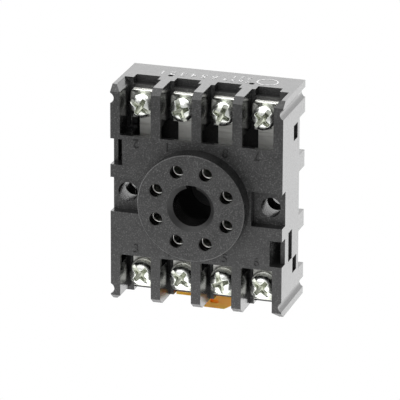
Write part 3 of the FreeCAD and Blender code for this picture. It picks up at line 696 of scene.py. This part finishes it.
def screw_mesh(centre_x, centre_z, turn):
    """The head and the shank as two closed shells, and how deep each point lies in a recess."""
    angle, radii, heights, masks = head_rings(head_steps)
    head_ends = (head_height - recess_floor, 0.0)
    head = rings_to_points(angle, radii, heights, centre_x, centre_z, turn, head_ends)
    faces = ring_faces(len(radii), head_steps)
    # Painted shade for each point: the recess mask on the head, 1 at its middle pole, 0.6 all over the
    # thread.
    inside = np.concatenate([[1.0], masks.ravel(), [0.0]])
    angle, radii, heights = shank_rings(shank_steps)
    shank_ends = (0.1 * millimetre, -shank_length)
    shank = rings_to_points(angle, radii, heights, centre_x, centre_z, turn, shank_ends)
    faces += ring_faces(len(radii), shank_steps, len(head))
    inside = np.concatenate([inside, np.full(len(shank), 0.6)])
    return np.vstack([head, shank]), faces, inside


for pin, (across, up_by, slot_turn) in screw_spots.items():
    place_x, place_z = across * millimetre, up_by * millimetre
    points, faces, inside = screw_mesh(place_x, place_z, math.radians(slot_turn))
    body, solid = "screw_" + str(pin), "screw_" + str(pin)
    piece = add_piece("turned_screw_" + str(pin), points, faces, screw_metal, body)
    # Painted shade: the recess attribute darkens the metal's colour in the slot, the cross recess and
    # on the thread.
    painted_shade_layer = piece.data.attributes.new("recess", "FLOAT", "POINT")
    painted_shade_layer.data.foreach_set("value", inside.astype(np.float32))
    piece.data.polygons.foreach_set("use_smooth", np.ones(len(faces), dtype=bool))
    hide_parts(solid)
print(len(screw_spots), "screws of", len(faces), "faces each")

# %% [markdown]
# ## Clamp washers and contact mouths
#
# Both are closed rings, so one surface serves: an outline round the axis, and round each point
# of it a small rounded section. The washer's outline is a circle that turns square on the
# side where the wire comes in, and there its edge is bent up to keep the wire in. The mouth of
# a contact is rolled over, so that a pin finds its way in, and the roll catches the light.

# %% A ring with a rounded section


def rolled_ring(turn, loop, inner, outer, level, half_thick, power):
    """Radius and height of a ring: middle + half width * c, level + half thickness * s.

    c and s are the cosine and sine of the loop angle, each raised to 2 / power with its sign
    kept, so a power of 2 gives a round section and a higher one a squarer section.
    """
    bend = 2.0 / power
    cosine = np.sign(np.cos(loop)) * np.abs(np.cos(loop)) ** bend
    sine = np.sign(np.sin(loop)) * np.abs(np.sin(loop)) ** bend
    middle, half = (inner + outer) / 2, (outer - inner) / 2
    radius = middle + half * cosine + np.zeros_like(turn)
    return radius, level + half_thick * sine + np.zeros_like(turn)


def loop_faces(around, across):
    """Quads of a grid that closes on itself both ways."""
    index = np.arange(around * across).reshape(around, across)
    right = np.roll(index, -1, axis=0)
    up_one = np.roll(index, -1, axis=1)
    both_ways = np.roll(right, -1, axis=1)
    return np.stack([index, right, both_ways, up_one], axis=2).reshape(-1, 4).tolist()


def ring_grid(around, across):
    """The two angles of a ring's grid, one row for each step round the axis."""
    turn = np.linspace(0.0, 2 * math.pi, around, endpoint=False)[:, None]
    loop = np.linspace(0.0, 2 * math.pi, across, endpoint=False)[None, :]
    return turn, loop


def ring_points(radius, height, turn, centre_x, centre_z):
    """Places a ring's radius and height about an axis that points at the viewer."""
    x = centre_x + radius * np.cos(turn)
    z = centre_z + radius * np.sin(turn)
    return np.stack([x, -height, z], axis=2).reshape(-1, 3)


print("rings ready")

# %% Press the washers
washer_hole = 1.77 * millimetre
washer_round = 3.1 * millimetre
washer_square = 3.35 * millimetre
washer_level = 11.05 * millimetre
washer_half = 0.44 * millimetre
lip_lift = 0.5 * millimetre
lip_start = 2.75 * millimetre
washer_steps = (128, 24)
section_power = 7.0


def washer_mesh(centre_x, centre_z, outward):
    """Outline: R = (|cos / a|^6 + |sin / b|^6)^(-1/6) outward, a circle inward; then the lip."""
    turn, loop = ring_grid(*washer_steps)
    across = np.abs(np.cos(turn)) / washer_round
    along = np.abs(np.sin(turn)) / washer_square
    square = (across**6 + along**6) ** (-1.0 / 6.0)
    outline = np.where(np.sin(turn) * outward > 0, square, washer_round)
    section = (washer_level, washer_half, section_power)
    radius, height = rolled_ring(turn, loop, washer_hole, outline, *section)
    reach = radius * np.sin(turn) * outward
    height = height + lip_lift * smooth_step(lip_start, washer_square, reach)
    return ring_points(radius, height, turn, centre_x, centre_z), loop_faces(*washer_steps)


def add_smooth(name, points, faces, material, body):
    """A finished piece that is smooth all over."""
    piece = add_piece(name, points, faces, material, body)
    piece.data.polygons.foreach_set("use_smooth", np.ones(len(faces), dtype=bool))
    shell = bmesh.new()
    shell.from_mesh(piece.data)
    bmesh.ops.recalc_face_normals(shell, faces=shell.faces)
    shell.to_mesh(piece.data)
    shell.free()
    return piece


for pin, (across, up_by, slot_turn) in screw_spots.items():
    outward = 1.0 if up_by > 0 else -1.0
    points, faces = washer_mesh(across * millimetre, up_by * millimetre, outward)
    body = "washer_" + str(pin)
    piece = add_smooth("pressed_washer_" + str(pin), points, faces, washer_metal, body)
    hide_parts(body)
print("eight washers,", len(faces), "faces each")

# %% Roll the contacts' mouths
mouth_level = 18.6 * millimetre
mouth_inner = 1.22 * millimetre
mouth_outer = 1.62 * millimetre
mouth_half = 0.2 * millimetre
mouth_steps = (64, 16)
pin_circle_radius = 8.725 * millimetre
for pin in range(1, 9):
    turned_to = math.radians(112.5 + 45.0 * (pin - 1))
    spot_x = pin_circle_radius * math.cos(turned_to)
    spot_z = pin_circle_radius * math.sin(turned_to)
    turn, loop = ring_grid(*mouth_steps)
    radius, height = rolled_ring(turn, loop, mouth_inner, mouth_outer, mouth_level, mouth_half, 2.0)
    points = ring_points(radius, height, turn, spot_x, spot_z)
    faces = loop_faces(*mouth_steps)
    add_smooth("contact_mouth_" + str(pin), points, faces, contact_metal, "socket")
print("eight rolled mouths")

# %% [markdown]
# ## Numbers beside the terminals
#
# The mould leaves a small raised number beside each terminal, in the same plastic, so it shows
# only by its edges. Bottom numbers stand upright and top ones hang upside down, because the
# two rows are the same after half a turn. Blender's own font gives the outlines; each number
# is made a mesh and then moved to its place, so that its object stays at the origin.

# %% Raise the numbers
number_plastic, number_shader, number_place = new_material("polished_number")
number_tone = add_noise(number_plastic, number_place, 900.0)
number_ramp = add_ramp(number_plastic, number_tone, "Fac", [(0.3, (0.003,) * 3), (0.7, (0.008,) * 3)])
join(number_plastic, number_ramp, "Color", number_shader, "Base Color")
number_shader.inputs["Roughness"].default_value = 0.25
number_height = 2.1 * millimetre
number_depth = 0.36 * millimetre
number_level = 12.4 * millimetre
number_spots = {2: -13.9, 1: -6.65, 8: 6.65, 7: 13.9, 3: -13.9, 4: -6.65, 5: 6.65, 6: 13.9}
top_row = (2, 1, 8, 7)
for pin, across in number_spots.items():
    points, faces = text_mesh(str(pin), number_height, number_depth)
    way = -1.0 if pin in top_row else 1.0
    # Text lies in XY and reads along +X. Standing up, its Y becomes Z and its Z becomes -Y.
    placed = np.empty_like(points)
    placed[:, 0] = across * millimetre + points[:, 0] * way
    placed[:, 1] = -(front_plane + points[:, 2])
    placed[:, 2] = -number_level * way + points[:, 1] * way
    add_piece("number_" + str(pin), placed, faces, number_plastic)
print("eight raised numbers,", round(number_height / millimetre, 2), "mm high")

# %% [markdown]
# ## White print on the top
#
# The real socket has a line or two of small white print on its top face. What it says is left
# out here: plain counting numbers and an empty ring stand in its place, as thin as ink. They
# read from behind the socket, as print on the top of a panel part does, and ink wears, so the
# white is uneven.

# %% Ink for the print


def print_ink():
    """White where the noise is high, and thin enough elsewhere for the plastic to grey it."""
    material, shader, place = new_material("white_print")
    wear = add_noise(material, place, 1500.0, 3.0, 0.6)
    tone = add_ramp(material, wear, "Fac", [(0.35, (0.42,) * 3), (0.6, (0.74,) * 3)])
    join(material, tone, "Color", shader, "Base Color")
    shader.inputs["Roughness"].default_value = 0.5
    return material


white_print = print_ink()
print("ink ready")

# %% Print the counting numbers
print_level = float(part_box("housing")[1][2]) + 0.03 * millimetre
print_height = 2.2 * millimetre
small_height = 1.6 * millimetre
number_rows = {
    "long_row": ("6 5 4 3 2 1", -5.7, -4.6, print_height),
    "back_row": ("3 2 1", 6.2, -3.0, small_height),
    "front_row": ("7 6 5 4", 5.6, -5.3, small_height),
}
for name, (text, across, depth, tall) in number_rows.items():
    points, faces = text_mesh(text, tall, 0.02 * millimetre)
    placed = np.empty_like(points)
    placed[:, 0] = across * millimetre - points[:, 0]
    placed[:, 1] = depth * millimetre - points[:, 1]
    placed[:, 2] = print_level + points[:, 2]
    add_piece("print_" + name, placed, faces, white_print)
print(len(number_rows), "rows of numbers")

# %% Print the ring
ring_spot = (12.4, -4.3)
ring_radius = (2.5, 2.15)
ring_squash = 0.85
ring_steps = 64
angle = np.linspace(0.0, 2 * math.pi, ring_steps, endpoint=False)
band = np.array(ring_radius)[:, None]
points = np.empty((2, ring_steps, 3))
points[:, :, 0] = (ring_spot[0] + band * np.cos(angle)) * millimetre
points[:, :, 1] = (ring_spot[1] + band * ring_squash * np.sin(angle)) * millimetre
points[:, :, 2] = print_level
outer = np.arange(ring_steps)
onward = np.roll(outer, -1)
quads = np.stack([outer, onward, onward + ring_steps, outer + ring_steps], axis=1)
add_piece("print_ring", points.reshape(-1, 3), quads.tolist(), white_print)
print("an empty ring,", ring_radius[0] * 2, "mm across")

# %% [markdown]
# ## Floor and light
#
# The picture was taken on white paper under soft lamps. The floor and the world are white to
# the camera, while a softer level lights the object itself. To a mirror they are bright behind
# the object and dim before it, because metal needs something dark to mirror as well.

# %% Lay the floor
floor_level = float(cad_box[0][2])
floor_half = 3.0
mirror_front = 0.5
mirror_back = 2.5
mirror_levels = (mirror_front, mirror_back)
floor_ramp = (-0.16, 0.01)
world_ramp = (-0.5, 0.3)
paper_colour = (0.86, 0.86, 0.86, 1.0)
plain_white = (1.0, 1.0, 1.0, 1.0)
corners = [(x * floor_half, y * floor_half) for x, y in ((-1, -1), (1, -1), (1, 1), (-1, 1))]
floor_mesh = bpy.data.meshes.new("floor")
floor_mesh.from_pydata([(x, y, floor_level) for x, y in corners], [], [(0, 1, 2, 3)])
floor = bpy.data.objects.new("floor", floor_mesh)
bpy.context.collection.objects.link(floor)


def white_paper():
    """Pale paper: white to the camera, bright to mirrors behind the object and dim before it."""
    material = bpy.data.materials.new("white_paper")
    material.use_nodes = True
    tree = material.node_tree
    tree.nodes.clear()
    paper = add_node(material, "BsdfDiffuse", Color=paper_colour)
    rays = tree.nodes.new("ShaderNodeLightPath")
    place = tree.nodes.new("ShaderNodeTexCoord")
    split = tree.nodes.new("ShaderNodeSeparateXYZ")
    join(material, place, "Object", split, "Vector")
    depth = add_node(material, "MapRange", **map_ends(floor_ramp, mirror_levels))
    join(material, split, "Y", depth, "Value")
    level = add_node(material, "Mix", B=1.0)
    join(material, rays, "Is Camera Ray", level, "Factor")
    join(material, depth, "Result", level, "A")
    glow = add_node(material, "Emission", Color=plain_white)
    join(material, level, "Result", glow, "Strength")
    camera_ray, glossy_ray = rays.outputs["Is Camera Ray"], rays.outputs["Is Glossy Ray"]
    mix = tree.nodes.new("ShaderNodeMixShader")
    tree.links.new(reckon(material, "MAXIMUM", camera_ray, glossy_ray), mix.inputs["Fac"])
    join(material, paper, "BSDF", mix, 1)
    join(material, glow, "Emission", mix, 2)
    end = tree.nodes.new("ShaderNodeOutputMaterial")
    join(material, mix, "Shader", end, "Surface")
    return material


floor_mesh.materials.append(white_paper())
print("floor at", round(floor_level / millimetre, 2), "mm")

# %% Light it
world = bpy.data.worlds.new("studio")
bpy.context.scene.world = world
world.use_nodes = True
sky = world.node_tree.nodes["Background"]
sky.inputs["Color"].default_value = plain_white
seen_level = 1.0
lit_level = 0.55


def world_level(tree, seen_level, lit_level):
    """Strength: one level for the camera, a ramp from front to back for mirrors, one for light.

    The ramp follows a ray's own Y: a mirror that looks towards the camera's side finds a dim
    room, and one that looks towards the paper behind the object finds it bright.
    """
    rays = tree.nodes.new("ShaderNodeLightPath")
    heading = tree.nodes.new("ShaderNodeTexCoord")
    split = tree.nodes.new("ShaderNodeSeparateXYZ")
    tree.links.new(heading.outputs["Generated"], split.inputs["Vector"])
    mirror = tree.nodes.new("ShaderNodeMapRange")
    for name, value in map_ends(world_ramp, mirror_levels).items():
        mirror.inputs[name.replace("_", " ")].default_value = value
    tree.links.new(split.outputs["Y"], mirror.inputs["Value"])
    gloss = tree.nodes.new("ShaderNodeMix")
    gloss.inputs["A"].default_value = lit_level
    tree.links.new(rays.outputs["Is Glossy Ray"], gloss.inputs["Factor"])
    tree.links.new(mirror.outputs["Result"], gloss.inputs["B"])
    seen = tree.nodes.new("ShaderNodeMix")
    seen.inputs["B"].default_value = seen_level
    tree.links.new(rays.outputs["Is Camera Ray"], seen.inputs["Factor"])
    tree.links.new(gloss.outputs["Result"], seen.inputs["A"])
    return seen.outputs["Result"]


strength = world_level(world.node_tree, seen_level, lit_level)
world.node_tree.links.new(strength, sky.inputs["Strength"])


def soft_lamp(name, place, target, width, height, power):
    """A rectangular soft box at a place, turned to face its target."""
    data = bpy.data.lights.new(name, "AREA")
    data.shape = "RECTANGLE"
    data.size = width
    data.size_y = height
    data.energy = power
    lamp = bpy.data.objects.new(name, data)
    away = np.array(place) - np.array(target)
    away = away / np.linalg.norm(away)
    side = np.cross([0.0, 0.0, 1.0], away)
    side = side / np.linalg.norm(side)
    spun = np.eye(4)
    spun[:3, 0] = side
    spun[:3, 1] = np.cross(away, side)
    spun[:3, 2] = away
    spun[:3, 3] = place
    lamp.matrix_world = Matrix(spun.tolist())
    bpy.context.collection.objects.link(lamp)
    return lamp


middle = (0.0, -0.01, 0.0)
lamps = {
    "key": ((-0.7, -0.95, 1.05), 2.4, 1.8, 18.0),
    "back": ((0.2, 0.8, 1.5), 1.2, 1.0, 12.0),
    "side": ((1.4, 0.8, 0.6), 1.4, 1.2, 5.0),
}
for name, (spot, width, height, power) in lamps.items():
    soft_lamp(name, spot, middle, width, height, power)
bpy.context.scene.view_settings.view_transform = "Standard"
print(len(lamps), "soft boxes and a white world")
